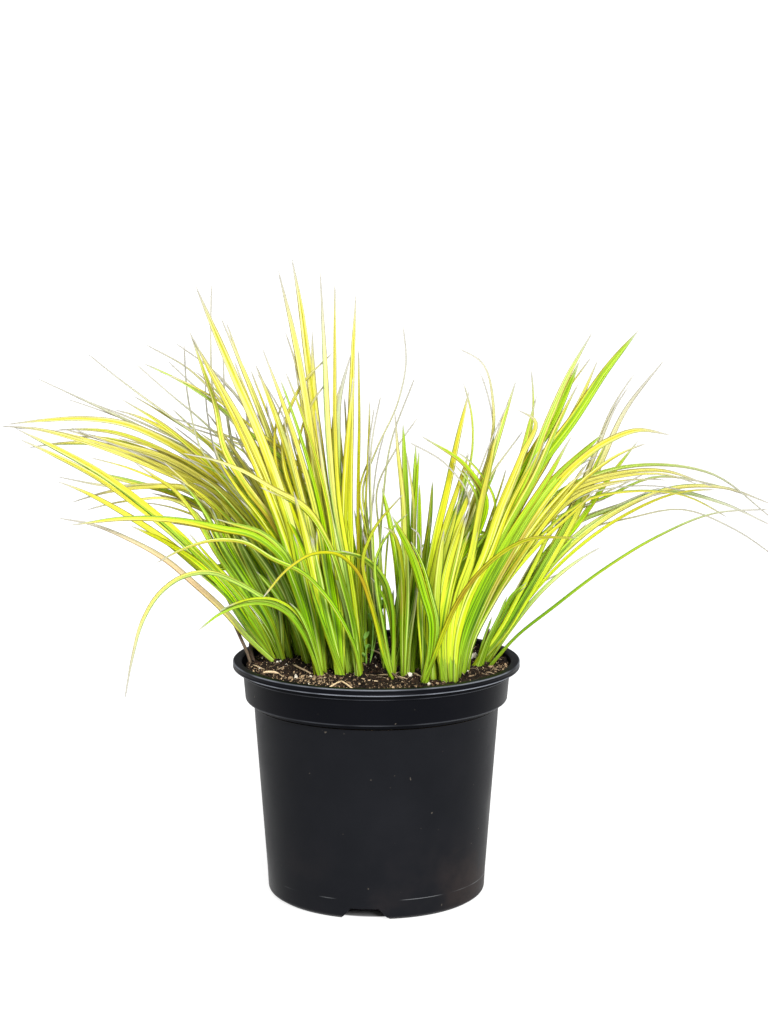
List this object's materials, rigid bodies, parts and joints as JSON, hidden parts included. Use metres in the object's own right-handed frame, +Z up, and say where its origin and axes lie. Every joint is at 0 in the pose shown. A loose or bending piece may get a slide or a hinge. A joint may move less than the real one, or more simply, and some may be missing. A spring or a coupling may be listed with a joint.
{
  "type": "potted golden edge japanese sweet flag",
  "caption": "Grassy clump of arching gold and green sword-shaped leaves in flat sheathed fans, rooted in potting mix in a tapered black nursery pot with a rolled rim.",
  "frame": {"origin": "centre of the pot's underside, on the flat pad that it stands on", "axes": "+Z up along the pot's axis, +X to the right along the clump's widest spread, -Y towards the front that the picture shows"},
  "size_m": [0.4886, 0.3195, 0.3895],
  "materials": {
    "pot_plastic": "satin",
    "potting_mix": "matte",
    "leaf": "satin"
  },
  "bodies": {
    "root": {"fan_01": "leaf", "fan_02": "leaf", "fan_03": "leaf", "fan_04": "leaf", "fan_05": "leaf", "fan_06": "leaf", "fan_07": "leaf", "fan_08": "leaf", "fan_09": "leaf", "fan_10": "leaf", "fan_11": "leaf", "fan_12": "leaf", "fan_13": "leaf", "fan_14": "leaf", "fan_15": "leaf", "fan_16": "leaf", "fan_17": "leaf", "fan_18": "leaf", "fan_19": "leaf", "fan_20": "leaf", "fan_21": "leaf", "fan_22": "leaf", "fan_23": "leaf", "fan_24": "leaf", "fan_25": "leaf", "fan_26": "leaf", "fan_27": "leaf", "fan_28": "leaf", "fan_29": "leaf", "fan_30": "leaf", "fan_31": "leaf", "fan_32": "leaf", "fan_33": "leaf", "fan_34": "leaf", "fan_35": "leaf", "fan_36": "leaf", "fan_37": "leaf", "fan_38": "leaf", "fan_39": "leaf", "fan_40": "leaf", "fan_41": "leaf", "fan_42": "leaf", "fan_43": "leaf", "fan_44": "leaf", "fan_45": "leaf", "fan_46": "leaf", "fan_47": "leaf", "fan_48": "leaf", "fan_49": "leaf", "fan_50": "leaf", "fan_51": "leaf", "fan_52": "leaf", "fan_53": "leaf", "pot": "pot_plastic", "soil": "potting_mix"}
  },
  "joints": []
}
